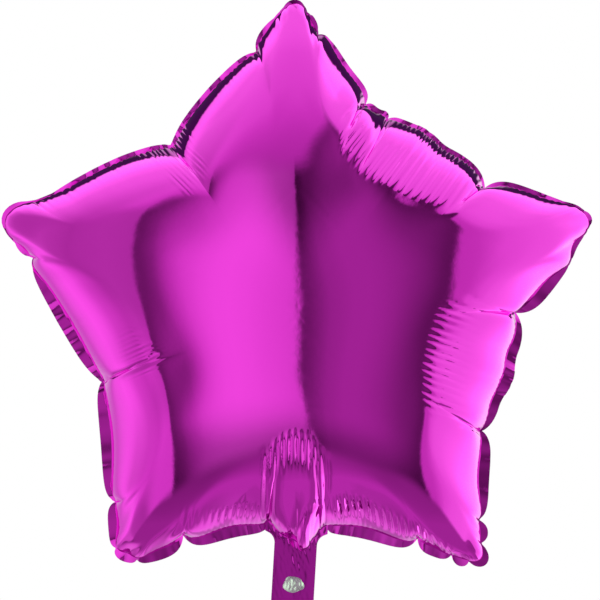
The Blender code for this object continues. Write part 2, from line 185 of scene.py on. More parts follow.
# Pillows: middle across and up from the star's centre and height, in millimetres
PILLOWS = (
    (80, -155, -0.5), (88, -110, 0.7), (104, -110, -0.7), (-88, -80, 0.7), (80, -65, -0.4),
    (112, -65, 0.5), (-120, -50, 2.0), (-104, -50, -1.3), (-128, -35, 0.4), (-112, -35, 0.7),
    (-96, -35, -1.1), (-80, -35, 0.4), (112, -5, -0.5), (-112, 55, 0.5), (112, 55, 0.4),
    (128, 55, -0.5), (-128, 85, -0.4), (-96, 85, -0.9), (-80, 85, -0.4), (64, 85, 0.8),
    (96, 85, -0.6), (128, 85, 0.5), (-88, 100, 1.3), (56, 100, 0.9), (-80, 115, 0.6),
    (32, 115, -0.9), (64, 115, -0.9), (40, 160, -0.4),
)
PILLOW_SIZE = 19.0
PILLOW_FADE = 0.012
# The fold on the right of the lobe: where it starts, as places up and across, and its slope
LOBE_FOLD = (
    (-0.1820, 0.0085), (-0.1770, 0.0045), (-0.1715, 0.0015), (-0.1640, -0.0004),
    (-0.1560, 0.0020), (-0.1500, 0.0090), (-0.1440, 0.0190),
)
LOBE_FOLD_SLOPE = 0.42
LOBE_EDGE, LOBE_EDGE_SLOPE = 0.0185, 3.0
# The pocket on the right of the neck: middle, half width, how far it hangs down, and reach, then
# how far it swells out, the half width and reach of that, and where it is full
POCKET = (0.0080, 0.0095, 0.0125, 0.015)
POCKET_SWELL = (0.0022, 0.0065, 0.018, 0.004)
# The margin across the neck: angles and width
NECK_FROM, NECK_TO, NECK_MARGIN = 262.0, 279.0, 0.0022
# The crumpled foil on the left of the neck: middle, reach and height
CRUMPLE = (-0.0105, -0.1680, 0.0085, 0.0007)
# Folds: angle of a crease, how deep it is past its notch, and its half width there
FOLDS = {
    35.8: (0.0050, 0.0040),
    64.4: (0.0030, 0.0030),
    70.1: (0.0060, 0.0040),
    262.8: (0.0050, 0.0035),
    276.0: (0.0050, 0.0035),
    328.7: (0.0045, 0.0040),
    358.2: (0.0060, 0.0040),
}
FOLD_SHARE = 0.22  # of a crease's depth, for the others
FOLD_WIDTH = 0.0020
NOTCH_REACH = 0.016
# Along the upper edges the foil stands steeply inside a narrower margin
STEEP_FROM, STEEP_TO = 17.0, 163.0
STEEP_MARGIN = 0.0032
STEEP_REACH = 0.070
SMOOTH_OVER = 0.020
SMOOTH_FROM, SMOOTH_RISE = 0.008, 0.065
GAP_BLEND = 0.010
PLEATED = ((34, 72), (120, 133), (192, 206), (248, 312), (326, 362))
SHEET = 0.00016  # half of the margin's thickness
# How far the margin leans back at its outer edge, by angle, in degrees
MARGIN_LEANS = (
    (0, 16), (16, 16), (20, 18), (50, 18), (58, 24), (84, 24), (87, 12), (93, 12), (97, -2.5),
    (124, -2.5), (132, -4), (158, -4), (166, -5.2), (196, -5.2), (230, -4.6), (238, 20), (262, 20),
    (276, 20), (300, 20), (310, 16), (360, 16),
)
MARGIN_WAVES = ((0, 2.5), (150, 2.5), (166, 0.7), (230, 0.7), (240, 2.5), (360, 2.5))
RIM_WAVE, RIM_WAVE_REACH = 0.0005, 0.006
MARGIN_RUFFLE = 0.8  # how much more the margin's outer edge waves
SHARP_ANGLE = 42.0  # edges that turn more than this are shaded as folds
COLUMNS = 1600
CREASE_COLUMNS, CREASE_COLUMNS_HALF = 4.0, 0.9  # how much closer they are, and over which angle
PLEAT_COLUMNS = 1.3
RINGS = 60
RING_POWER = 1.8
MARGIN_RINGS = (1.0, 0.7, 0.35)
HALVED_FROM = (0.50, 0.75)  # rings past these shares keep half the columns, then a quarter
SEAM_TEETH = 0.00055
TOOTH_SPACING = 4.1  # millimetres along the weld
TOOTH_REACH = 0.0075
WELD_ARC = 200.0  # a usual distance of the weld from the star's centre, in millimetres
TEETH_SHARE = ((0, 0.25), (14, 0.25), (22, 1), (160, 1), (168, 0.25), (360, 0.25))
DENTS = 0.00003
TAIL_ROWS, TAIL_COLUMNS = 150, 60
TAIL_TWIST = -0.075
CRINKLES, DENTS_OF_TAIL = 0.00020, 0.0002
LINING_RINGS, LINING_PLACES = 9, 48
LINING_STANDS, LINING_DOME, LINING_CREASE = 0.0004, 0.0010, 0.0005

FOIL = (0.80, 0.030, 0.665, 1.0)
TAIL_FOIL_PAINTED_SHADE = (0.58, 0.016, 0.48, 1.0)  # painted shade: the same foil as the body, with its colour made darker for the tail
EDGE_TINT = (1.0, 0.65, 1.0, 1.0)  # the foil's colour at a glancing angle
SILVER = (0.72, 0.74, 0.72, 1.0)
FLOOR_GREY = (0.86, 0.86, 0.86, 1.0)
FLOOR_HALF, FLOOR_LEVEL = 3.0, -0.30
LAMP_PLACE, LAMP_SIZE, LAMP_ENERGY = (0.2, -0.3, 2.2), 1.6, 12.0
WHITE = (1.0, 1.0, 1.0, 1.0)
BLACK = (0.0, 0.0, 0.0, 1.0)
SENSOR_WIDTH = 36.0
VIEW_WIDTH = 0.4656  # at the weld
VIEW_DISTANCE = 2.4
VIEW_SHIFT = (0.0019, 0.0109)

SECTOR = 360.0 / ARMS
HALF_SECTOR = math.radians(SECTOR / 2)
FIRST_TIP = 90.0
HALF_ANGLE = math.atan2(
    VALLEY_RADIUS * math.sin(HALF_SECTOR), TIP_RADIUS - VALLEY_RADIUS * math.cos(HALF_SECTOR)
)
EDGE_DISTANCE = TIP_RADIUS * math.sin(HALF_ANGLE)
EDGE_NORMAL = math.pi / 2 - HALF_ANGLE
ROUNDING = (1 - (1 - TIP_ROUNDING / TIP_RADIUS) ** FULLNESS) * (1 - ARM_THINNING)
TAIL_TURN = math.radians(TAIL_LEAN)
DOWN_TAIL = np.array((-math.sin(TAIL_TURN), -math.cos(TAIL_TURN)))
ACROSS_TAIL = np.array((math.cos(TAIL_TURN), -math.sin(TAIL_TURN)))
TAIL_ROOT = -DOWN_TAIL * (TAIL_LENGTH - GRIP_HEIGHT)
CENTRE = TAIL_ROOT + np.array((-TAIL_SIDE_SHIFT, VALLEY_RADIUS))
WELD_PLANE = TAIL_THICKNESS / 2


def ease(share):
    share = np.clip(share, 0, 1)
    return share * share * (3 - 2 * share)


def wave_noise(x, y, seed, octaves=3):
    """Smooth noise from a few sine waves, about -1 to 1, the same on every run."""
    rng = np.random.default_rng(seed)
    total = np.zeros(np.broadcast(x, y).shape)
    weight = 0.0
    for octave in range(octaves):
        for _ in range(5):
            turn, phase = rng.uniform(0, 2 * math.pi, 2)
            scale = 2**octave * rng.uniform(0.7, 1.3)
            strength = 0.6**octave
            total += strength * np.sin(
                scale * (x * math.cos(turn) + y * math.sin(turn)) + phase
            )
            weight += strength**2
    return total / math.sqrt(weight / 2) / 2


def polar(x, y):
    return np.hypot(x, y), np.arctan2(y, x)


def off_arm(angle):
    """The angle off the nearest arm's axis."""
    past = (angle - math.radians(FIRST_TIP - SECTOR / 2)) % math.radians(SECTOR)
    return past - HALF_SECTOR


def weld_noise(angle, spacing, seed, octaves=1):
    arc = angle * WELD_ARC
    return wave_noise(arc / spacing, 0 * arc, seed, octaves)


def swell_of_arm(radius, off_axis):
    """How full one arm is at a distance from the centre and an angle off its axis."""
    shares = []
    for side in (1, -1):
        out = radius / EDGE_DISTANCE * np.cos(off_axis - side * EDGE_NORMAL)
        shares.append(1 - np.clip(out, 0, 1) ** FULLNESS)
    outward = (radius * np.cos(off_axis) - ARM_THINNING_FROM) / ARM_THINNING_OVER
    thinned = 1 - ARM_THINNING * ease(outward)
    return shares[0] * shares[1] * thinned**2


def swell(radius, angle):
    """The square of the height, as a share of the full depth: each arm blends into the next."""
    off_axis = off_arm(angle)
    side = np.where(off_axis < 0, -1.0, 1.0)
    own = swell_of_arm(radius, off_axis)
    neighbour = swell_of_arm(radius, off_axis - side * math.radians(SECTOR))
    inward = np.clip(1 - radius / VALLEY_RADIUS, 0, 1)
    width = math.radians(VALLEY_SOFTENING) * inward + 1e-6
    weight = 0.5 + 0.5 * ease((HALF_SECTOR - np.abs(off_axis)) / width)
    return (weight * own + (1 - weight) * neighbour - ROUNDING**2) / (1 - ROUNDING**2)


def edge_gap(radius, angle):
    """How far a place is inside the nearest straight edge of its arm."""
    off_axis = off_arm(angle)
    gaps = [EDGE_DISTANCE - radius * np.cos(off_axis - side * EDGE_NORMAL) for side in (1, -1)]
    return -GAP_BLEND * np.log(sum(np.exp(-gap / GAP_BLEND) for gap in gaps))


def smooth_swell(points):
    """The swell, averaged over its surroundings more and more towards the middle."""
    radius, angle = polar(points[..., 0], points[..., 1])
    spread = SMOOTH_OVER * ease((edge_gap(radius, angle) - SMOOTH_FROM) / SMOOTH_RISE)
    total = 0.125 * swell(radius, angle)
    weight = 0.125
    for ring in range(1, 6):
        reach = 0.5 * ring
        share = math.exp(-(reach**2) / 2) * reach / 16
        for turn in np.arange(16) * math.pi / 8 + 0.4 * ring:
            x = points[..., 0] + spread * reach * math.cos(turn)
            y = points[..., 1] + spread * reach * math.sin(turn)
            total = total + share * swell(*polar(x, y))
            weight += share
    return total / weight


def weld_radius(angle):
    """Where the swell ends, found by halving."""
    low = np.zeros_like(angle)
    high = np.full_like(angle, TIP_RADIUS)
    for _ in range(36):
        middle = (low + high) / 2
        inside = swell(middle, angle) > 0
        low = np.where(inside, middle, low)
        high = np.where(inside, high, middle)
    return low


def place(radius, angle):
    return np.stack((radius * np.cos(angle), radius * np.sin(angle)), axis=-1)


def slope(points):
    """How the swell changes across and up."""
    step = 0.0003
    found = []
    for axis in range(2):
        ahead, behind = points.copy(), points.copy()
        ahead[..., axis] += step
        behind[..., axis] -= step
        values = [swell(*polar(p[..., 0], p[..., 1])) for p in (ahead, behind)]
        found.append((values[0] - values[1]) / (2 * step))
    return np.stack(found, axis=-1)


def outward_at(angle):
    """The direction straight out of the weld."""
    total = np.zeros(angle.shape + (2,))
    for off in (-4.0, -2.0, 0.0, 2.0, 4.0):
        near = angle + math.radians(off)
        total -= slope(place(weld_radius(near), near))
    return total / np.linalg.norm(total, axis=-1, keepdims=True)


def span_share(angle):
    """The crease before each angle, and the share of the way to the next one."""
    turn = np.degrees(angle) % 360.0
    after = np.searchsorted(CREASE_ANGLES, turn, side="right") % len(CREASES)
    before = (after - 1) % len(CREASES)
    span = (CREASE_ANGLES[after] - CREASE_ANGLES[before]) % 360.0
    return before, ((turn - CREASE_ANGLES[before]) % 360.0) / span


def stretched(points):
    """Each arm turned and lengthened a little on its own."""
    radius, angle = polar(points[..., 0], points[..., 1])
    turn, stretch = np.zeros_like(angle), np.zeros_like(angle)
    for arm in range(ARMS):
        axis = math.radians(FIRST_TIP + SECTOR * arm)
        off = (angle - axis + math.pi) % (2 * math.pi) - math.pi
        near = np.cos(np.clip(off * ARMS / 2, -math.pi / 2, math.pi / 2)) ** 2
        turn += near * math.radians(ARM_TURN[arm])
        stretch += near * ARM_STRETCH[arm]
    share = radius / TIP_RADIUS
    return place(radius + stretch * share**3, angle + turn * share)


def span_profile():
    """How far the weld stands out between creases, and how far in that reaches, round the star."""
    before, share = span_share(np.radians(np.arange(0, 360, 0.1)))
    span = (np.roll(CREASE_ANGLES, -1) - CREASE_ANGLES) % 360.0
    bulge = CREASE_BULGES[before] * np.sin(math.pi * share)
    reach = np.clip(np.radians(span) * VALLEY_RADIUS * 1.3, 0.014, BULGE_REACH)[before]
    return blurred(bulge, BULGE_BLUR), blurred(reach, 4 * BULGE_BLUR)


class Sheet:
    """The foil on one side of the weld: its places and heights on a grid of columns and rings."""

    def __init__(self, angles, inward, seed):
        self.angle, self.inward = np.meshgrid(angles, inward)
        self.weld = np.broadcast_to(weld_radius(angles)[None, :], self.angle.shape)
        self.distance = self.inward * self.weld
        self.seed = seed
        turn = angles % (2 * math.pi)
        at = np.radians(CREASE_ANGLES)
        lean = np.interp(turn, at, np.radians(CREASE_LEANS), period=2 * math.pi)
        reach = np.interp(turn, at, CREASE_LENGTHS, period=2 * math.pi)
        self.lean = np.tan(lean)[None, :]
        self.reach = reach[None, :] / VALLEY_RADIUS
        self.outward = np.broadcast_to(outward_at(angles)[None], self.angle.shape + (2,))
        self.points = self.column(self.weld, self.angle, self.lean, self.reach)
        self.x, self.z = self.points[..., 0], self.points[..., 1]
        self.x_mm, self.z_mm = self.x * 1000, self.z * 1000
        self.extra = steep_extra(self.angle)

    def column(self, weld, angle, lean, reach):
        """Places from the weld in to the centre, which set off at the creases' own lean."""
        inward = self.inward
        aside = lean * reach * (1 - np.exp(-inward / reach)) * (1 - inward) ** 2
        return place(weld * (1 - inward), angle - aside)

    def creases(self):
        """The long creases that run in from the notches in the weld."""
        depth = np.zeros(self.angle.shape)
        past = ease(self.distance / NOTCH_REACH)
        for at, notch, deep, half_width, length, lean, _ in CREASES:
            one = np.array([math.radians(at)])
            line = self.column(
                weld_radius(one), one, math.tan(math.radians(lean)), length / VALLEY_RADIUS
            )
            fold, fold_width = FOLDS.get(at, (FOLD_SHARE * deep, FOLD_WIDTH))
            across = np.linalg.norm(self.points - line, axis=-1)
            width = half_width + (fold_width - half_width) * past
            along = (notch + (fold - notch) * past) * (1 - ease(self.distance / length))
            depth = np.maximum(depth, np.exp(-across / width) * along)
        return depth

    def pleats(self):
        """The combs of small pleats, each ending along its own ragged inner edge."""
        x, z = self.x_mm, self.z_mm
        height = np.zeros(self.angle.shape)
        for number, (turn, spacing, high, full, held, gone, edge) in enumerate(PLEATS):
            along, side = math.radians(turn), math.radians(turn - 90)
            across = x * math.cos(side) + z * math.sin(side)
            out = x * math.cos(along) + z * math.sin(along)
            first, last = edge[0][0], edge[-1][0]
            count = round((last - first) / spacing)
            rng = np.random.default_rng(self.seed * 100 + number)
            uneven = np.linspace(first, last, count + 1)
            uneven = uneven + rng.uniform(-0.14, 0.14, count + 1) * spacing
            phase = np.interp(across, uneven, np.arange(count + 1))
            crest = np.interp(across, uneven, rng.uniform(0.65, 1.15, count + 1))
            past = out - np.interp(across, *zip(*edge))
            past = past + np.interp(across, uneven, rng.uniform(-1.2, 1.2, count + 1))
            wave = 2 * np.sqrt(np.sin(math.pi * phase) ** 2 + 0.01) - 1
            ends = ease((across - first) / spacing) * ease((last - across) / spacing)
            ends = ends * (np.cos(self.angle - along) > 0)
            run = ease((past + 2) / (full + 2)) * (1 - ease((past - held) / (gone - held)))
            height += high * wave * ends * run * crest
        return height * ease((self.distance - 0.002) / 0.006)

    def throat(self):
        """The foil drawn down to the tail."""
        return THROAT_DROP * np.exp(
            -((2 * (self.x - TAIL_SIDE_SHIFT) / THROAT_WIDTH) ** 4)
            - (self.distance / THROAT_REACH) ** 2
        )

    def lobe(self):
        aside = np.abs(self.x - LOBE_MIDDLE) / LOBE_HALF
        arch = LOBE_SHOULDER + LOBE_ARCH * np.sqrt(np.clip(1 - aside**2, 0, 1))
        lobe = ease((1 - aside) / LOBE_SIDE) * ease((arch - self.z) / LOBE_TOP)
        return LOBE_LIFT * (lobe * ease(self.distance / THROAT_REACH))

    def lobe_fold(self):
        x, z = self.x, self.z
        up, across = zip(*LOBE_FOLD)
        past = np.clip(x - np.interp(z, up, across), 0, None)
        past = np.minimum(past, np.clip(LOBE_EDGE - x, 0, None) * LOBE_EDGE_SLOPE)
        return LOBE_FOLD_SLOPE * past * ((z > up[0]) & (z < up[-1]))

    def crumple(self):
        x, z = self.x, self.z
        middle_x, middle_z, reach, high = CRUMPLE
        near = np.exp(-((x - middle_x) ** 2 + (z - middle_z) ** 2) / (2 * reach**2))
        return high * near * np.abs(wave_noise(x * 900, z * 900, self.seed + 71, 2))

    def pocket_swell(self):
        high, half, reach, full = POCKET_SWELL
        off = (self.x - POCKET[0]) / half
        swollen = high * np.exp(-(off**2) - (self.distance / reach) ** 2)
        return swollen * ease(self.distance / full)

    def neck(self):
        """Everything that shapes the foil above the tail."""
        raised = self.throat() + self.lobe() - self.lobe_fold()
        return (self.z < 0) * (raised + self.crumple() + self.pocket_swell())

    def pocket(self):
        """How far the pocket hangs down over the margin."""
        middle, half, drop, reach = POCKET
        near = np.exp(-(((self.x - middle) / half) ** 4) - (self.distance / reach) ** 2)
        return (self.z < 0) * drop * near

    def lines(self):
        """Thin creases drawn along given lines."""
        x, z = self.x_mm, self.z_mm
        total = np.zeros(self.angle.shape)
        for deep, half, line in LINES:
            near = np.full(self.angle.shape, 1e6)
            along = np.zeros(self.angle.shape)
            for number, (start, end) in enumerate(zip(line, line[1:])):
                run = (end[0] - start[0], end[1] - start[1])
                share = (x - start[0]) * run[0] + (z - start[1]) * run[1]
                share = np.clip(share / (run[0] ** 2 + run[1] ** 2), 0, 1)
                gap = np.hypot(x - start[0] - share * run[0], z - start[1] - share * run[1])
                along = np.where(gap < near, number + share, along)
                near = np.minimum(gap, near)
            ends = ease((len(line) - 1 - along) / LINE_FADE + LINE_LEFT)
            total = np.maximum(total, deep * ends * np.exp(-near / half))
        return total

    def pillows(self):
        """Shallow swells and hollows of the smooth foil."""
        total = np.zeros(self.angle.shape)
        for middle_x, middle_z, high in PILLOWS:
            gap = (self.x_mm - middle_x) ** 2 + (self.z_mm - middle_z) ** 2
            total += high / 1000 * np.exp(-gap / (2 * PILLOW_SIZE**2))
        return total * ease(self.distance / PILLOW_FADE)

    def bulges(self):
        """How the foil stands out between creases, near the weld."""
        bulge, reach = span_profile()
        reach = round_star(reach, self.angle)
        return round_star(bulge, self.angle) * (1 - ease(self.distance / reach))

    def bridges(self):
        """How far out the foil is carried across a valley."""
        turn = np.degrees(self.angle)
        total = np.zeros(self.angle.shape)
        for at, half, height in BRIDGES:
            off = np.abs((turn - at + 180) % 360 - 180)
            total += height * np.cos(np.clip(off / half, 0, 1) * math.pi / 2) ** 2
        return total * (1 - ease(self.distance / BRIDGE_REACH))

    def rim_teeth(self):
        """Fine ripples that run a short way in from the weld."""
        strength = 0.7 + 0.5 * weld_noise(self.angle, 12, self.seed + 7)
        uneven = self.angle * WELD_ARC + 1.1 * weld_noise(self.angle, 3, self.seed + 5)
        teeth = 2 * np.abs(np.sin(math.pi * uneven / TOOTH_SPACING)) - 1
        reach = TOOTH_REACH * (1 + 0.35 * weld_noise(self.angle, 2.5, self.seed + 9))
        fade = np.exp(-((self.distance / reach) ** 2)) * ease(self.distance / 0.001)
        upper = np.interp(np.degrees(self.angle) % 360.0, *zip(*TEETH_SHARE))
        return SEAM_TEETH * teeth * strength * fade * upper

    def dents(self):
        """The slight unevenness of the smooth foil."""
        broad = wave_noise(self.x_mm / 16, self.z_mm / 16, self.seed + 11, 2)
        return DENTS * broad * ease(self.distance / 0.02)

    def made(self):
        """The places on the weld plane and the heights over it."""
        share = np.clip(smooth_swell(self.points), 0, None)
        height = HALF_DEPTH * np.sqrt(np.where(self.inward == 0, 0, share))
        radius = np.hypot(self.x, self.z)
        arm = np.round((np.degrees(self.angle) - FIRST_TIP) / SECTOR).astype(int) % ARMS
        start = np.array(TIP_FROM)[arm]
        thinned = np.clip((radius - start) / (TIP_END - start), 0, LEAST_THINNED)
        height = height * (1 - np.array(TIP_SHARE)[arm] * (1 - np.sqrt(1 - thinned**2)))
        steepness = -slope(self.points) * HALF_DEPTH**2 / 2
        steep = np.linalg.norm(steepness, axis=-1)
        length = np.hypot(steep, height) + 1e-9
        near_weld = (1 - ease(self.distance / EASED_WITHIN))[..., None]
        aside = steepness / (steep[..., None] + 1e-9) * (1 - near_weld)
        aside = aside + self.outward * near_weld
        aside = aside / (np.linalg.norm(aside, axis=-1, keepdims=True) + 1e-9)
        push = self.bulges() + self.neck() - self.creases() - self.lines()
        push = push + self.pillows() + self.pleats() + self.rim_teeth() + self.dents()
        points = self.points + aside * (push * steep / length)[..., None]
        moved = self.extra * (1 - ease(self.distance / STEEP_REACH)) + self.bridges()
        moved = moved + self.pocket()
        points = points + self.outward * moved[..., None]
        height = np.maximum(height + push * height / length, height * 0.3)
        return stretched(points), height


def blurred(values, spread):
    """A profile round the star in tenths of a degree, blurred over a spread in degrees."""
    half = int(spread * 40)
    kernel = np.exp(-((np.arange(-half, half + 1) * 0.1 / spread) ** 2) / 2)
    return np.convolve(np.pad(values, half, mode="wrap"), kernel / kernel.sum(), mode="valid")


def round_star(values, angle):
    places = np.arange(len(values)) * 360.0 / len(values)
    return np.interp(np.degrees(angle) % 360.0, places, values, period=360.0)


def steep_extra(angle):
    """How far the foil reaches out over the margin along the upper edges and at the tips."""
    turn = np.arange(0, 360, 0.1)
    full = full_margin(np.radians(turn))
    upper = ease((turn - STEEP_FROM) / 4) * ease((STEEP_TO - turn) / 4)
    off = (turn - FIRST_TIP + SECTOR / 2) % SECTOR - SECTOR / 2
    tip = 1 - ease((np.abs(off) - TIP_SPAN / 2) / TIP_SPAN)
    steep = upper * (1 - tip) * np.clip(full - STEEP_MARGIN, 0, None)
    arm = np.round((turn - FIRST_TIP) / SECTOR).astype(int) % ARMS
    extra, after = np.array(TIP_EXTRA_BEFORE)[arm], np.array(TIP_EXTRA_AFTER)[arm]
    extra = tip * (extra + (after - extra) * ease((off + TIP_CHANGE / 2) / TIP_CHANGE))
    return round_star(blurred(steep, 0.8) + blurred(extra, 1.2), angle)


def margin_width(angle):
    """What the foil leaves of the margin, and a little of it across the neck."""
    width = np.clip(full_margin(angle) - steep_extra(angle), LEAST_MARGIN, None)
    turn = np.degrees(angle) % 360.0
    neck = ease((turn - NECK_FROM) / 2) * ease((NECK_TO - turn) / 2)
    return width + (NECK_MARGIN - width) * neck


def full_margin(angle):
    """The margin's scallops, as in the CAD part."""
    _, share = span_share(angle)
    scallop = np.sin(math.pi * np.clip(share, 0, 1)) ** MARGIN_FLATNESS
    return MARGIN_AT_CREASE + (MARGIN_WIDTH - MARGIN_AT_CREASE) * scallop


def column_angles():
    """Columns round the weld, closer together at the creases and ribs."""
    fine = np.radians(np.arange(0, 360, 0.02))
    degrees = np.degrees(fine)
    density = np.ones(len(fine))
    for at, *_ in CREASES:
        off = np.abs((degrees - at + 180) % 360 - 180)
        density += CREASE_COLUMNS * np.exp(-((off / CREASE_COLUMNS_HALF) ** 2))
    for first, last in PLEATED:
        density += PLEAT_COLUMNS * (((degrees - first) % 360) < last - first)
    total = np.concatenate(([0], np.cumsum(density)))
    total = total / total[-1] * COLUMNS
    ends = np.radians(np.arange(0, 360.01, 0.02)[: len(total)])
    return np.interp(np.arange(COLUMNS), total, ends)


def mesh_object(name, points, faces, material):
    mesh = bpy.data.meshes.new(name)
    mesh.from_pydata([tuple(p) for p in points], [], faces)
    mesh.validate()
    mesh.materials.append(material)
    mesh.shade_smooth()
    mesh.set_sharp_from_angle(angle=math.radians(SHARP_ANGLE))
    return add_object(name, mesh)


class RingMesh:
    """Points in closed rings, and the faces between them."""

    def __init__(self):
        self.points = []
        self.faces = []

    def ring(self, points):
        start = len(self.points)
        self.points.extend(map(tuple, points))
        return list(range(start, len(self.points)))

    def face(self, corners, turned):
        self.faces.append(corners[::-1] if turned else corners)

    def band(self, outer, inner, turned):
        """Join two rings. The inner one has as many points as the outer one, or half as many."""
        for i in range(len(inner)):
            j = (i + 1) % len(inner)
            if len(outer) == len(inner):
                self.face((outer[i], outer[j], inner[j], inner[i]), turned)
                continue
            a, b, c = outer[2 * i], outer[2 * i + 1], outer[(2 * i + 2) % len(outer)]
            for corners in ((a, b, inner[i]), (b, c, inner[j]), (b, inner[j], inner[i])):
                self.face(corners, turned)

    def cap(self, outer, pole, turned):
        for i in range(len(outer)):
            self.face((outer[i], outer[(i + 1) % len(outer)], pole), turned)


def upright(plan, depth):
    """Places round the star's centre, stood up at a depth."""
    return np.stack((CENTRE[0] + plan[:, 0], depth, CENTRE[1] + plan[:, 1]), axis=-1)


def margin_lean(angles):
    """How far the margin's outer edge stands back."""
    turn = np.degrees(angles) % 360.0
    leans = np.interp(turn, *zip(*MARGIN_LEANS))
    leans = leans + np.interp(turn, *zip(*MARGIN_WAVES)) * weld_noise(angles, 2.2, 51, 2)
    return np.tan(np.radians(leans)) * margin_width(angles)


def foil_body(material):
    """Both sheets from the margin's outer edge to the star's centre, closed round that edge."""
    angles = column_angles()
    shares = np.linspace(0, 1, RINGS + 1)[:-1]
    inward = shares**RING_POWER
    sheets = [Sheet(angles, inward, seed).made() for seed in (1, 2)]
    weld = sheets[0][0][0]
    wave = RIM_WAVE * weld_noise(angles, 4.0, 31, 2)
    outward, width, back = outward_at(angles), margin_width(angles), margin_lean(angles)
    mesh = RingMesh()
    rims = []
    for (places, height), side in zip(sheets, (-1, 1)):
        turned = side > 0
        outer = None
        for share in MARGIN_RINGS:
            ruffle = wave * (1 + MARGIN_RUFFLE * share)
            depth = WELD_PLANE + ruffle + back * share + side * SHEET
            ring = mesh.ring(upright(weld + outward * (width * share)[:, None], depth))
            if outer is None:
                rims.append(ring)
            else:
                mesh.band(outer, ring, turned)
            outer = ring
        for number in range(RINGS):
            # The back has half the rings and half the columns
            if side > 0 and number % 2 and number > 4:
                continue
            kept = (2 if side > 0 else 1) * 2 ** sum(shares[number] >= s for s in HALVED_FROM)
            fade = float(np.exp(-inward[number] * VALLEY_RADIUS / RIM_WAVE_REACH))
            depth = WELD_PLANE + wave * fade + side * (height[number] + SHEET)
            ring = mesh.ring(upright(places[number], depth)[::kept])
            mesh.band(outer, ring, turned)
            outer = ring
        # The last rings' slope carried on to the centre
        near, far = (1 - inward[RINGS - 1]) ** 2, (1 - inward[RINGS - 3]) ** 2
        top = height[RINGS - 1].mean()
        top += (top - height[RINGS - 3].mean()) * near / (far - near)
        (pole,) = mesh.ring([(CENTRE[0], WELD_PLANE + side * (top + SHEET), CENTRE[1])])
        mesh.cap(outer, pole, turned)
    mesh.band(rims[1], rims[0], False)
    return mesh_object("foil_body", mesh.points, mesh.faces, material)


def on_tail(across, down, depth):
    plan = TAIL_ROOT + ACROSS_TAIL * across + DOWN_TAIL * down
    return (plan[0], depth, plan[1])


def tail_grid():
    """Places across and down the tail, and how far each stands off the flat."""
    down = np.linspace(-TAIL_OVERLAP, TAIL_LENGTH, TAIL_ROWS)
    share = np.linspace(-1, 1, TAIL_COLUMNS)[None, :]
    root = MARGIN_WIDTH + TAIL_ROOT_RADIUS * 0.8
    flare = np.clip((root - down) / TAIL_ROOT_RADIUS, 0, 1)
    width = TAIL_WIDTH / 2 + TAIL_ROOT_RADIUS * (1 - np.sqrt(1 - flare**2 * 0.98))
    x = share * width[:, None]
    y = down[:, None] + 0 * x
    gathers = 1 - 0.6 * ease((y - 0.018) / 0.030)
    crinkle = CRINKLES * gathers * np.abs(wave_noise(x * 420, y * 170, 41, 3))
    crinkle = crinkle + DENTS_OF_TAIL * wave_noise(x * 110, y * 60, 43, 2)
    twist = TAIL_TWIST * x * ease((y - MARGIN_WIDTH) / 0.010)
    return x, y, crinkle * (1 - np.abs(share) ** 6) - twist


def tail_sheets(x, y, lift, material):
    points, faces = [], []
    for side in (-1, 1):
        for r in range(TAIL_ROWS):
            for c in range(TAIL_COLUMNS):
                depth = WELD_PLANE + side * TAIL_THICKNESS / 2 + lift[r, c]
                points.append(on_tail(x[r, c], y[r, c], depth))

    def face(*corners):
        faces.append(tuple((side * TAIL_ROWS + r) * TAIL_COLUMNS + c for side, r, c in corners))

    right, low = TAIL_COLUMNS - 1, TAIL_ROWS - 1
    for r in range(low):
        s = r + 1
        for c in range(right):
            d = c + 1
            face((0, s, c), (0, s, d), (0, r, d), (0, r, c))
            face((1, r, c), (1, r, d), (1, s, d), (1, s, c))
    for r in range(low):
        s = r + 1
        face((0, r, 0), (1, r, 0), (1, s, 0), (0, s, 0))
        face((0, r, right), (0, s, right), (1, s, right), (1, r, right))
    for c in range(right):
        d = c + 1
        face((0, 0, c), (0, 0, d), (1, 0, d), (1, 0, c))
        face((0, low, c), (1, low, c), (1, low, d), (0, low, d))
    return mesh_object("tail", points, faces, material)


def tail_lining(lift, material):
    """The back sheet's creased inner side, which shows through the filling hole."""

    def lift_at(across, down):
        row = (down + TAIL_OVERLAP) / (TAIL_LENGTH + TAIL_OVERLAP) * (TAIL_ROWS - 1)
        column = (across / (TAIL_WIDTH / 2) + 1) / 2 * (TAIL_COLUMNS - 1)
        return lift[int(round(row)), int(round(column))]

    hole_down = TAIL_LENGTH - GRIP_HEIGHT - HOLE_ABOVE_GRIP
    points, faces = [], []
    for step in range(LINING_RINGS + 1):
        for i in range(LINING_PLACES):
            turn = 2 * math.pi * i / LINING_PLACES
            r = 1 + 0.05 * math.sin(3 * turn + 1) + 0.04 * math.sin(5 * turn)
            r *= HOLE_DIAMETER / 2 * (step + 0.02) / (LINING_RINGS + 0.02)
            across = HOLE_WIDENING * r * math.cos(turn)
            down = hole_down + r * math.sin(turn)
            dome = LINING_DOME * (1 - (step / LINING_RINGS) ** 2)
            crease = LINING_CREASE * abs(float(wave_noise(across * 700, down * 700, 61, 2)))
            depth = WELD_PLANE - TAIL_THICKNESS / 2 - LINING_STANDS - dome
            depth = depth - crease * (step < LINING_RINGS)
            points.append(on_tail(across, down, depth + lift_at(across, down)))
    for step in range(LINING_RINGS):
        a, b = step * LINING_PLACES, (step + 1) * LINING_PLACES
        for i in range(LINING_PLACES):
            j = (i + 1) % LINING_PLACES
            faces.append((b + i, b + j, a + j, a + i))
    faces.append(tuple(range(LINING_PLACES)))
    return mesh_object("tail_lining", points, faces, material)


def set_inputs(node, **values):
    for name, value in values.items():
        node.inputs[name.replace("_", " ")].default_value = value
    return node


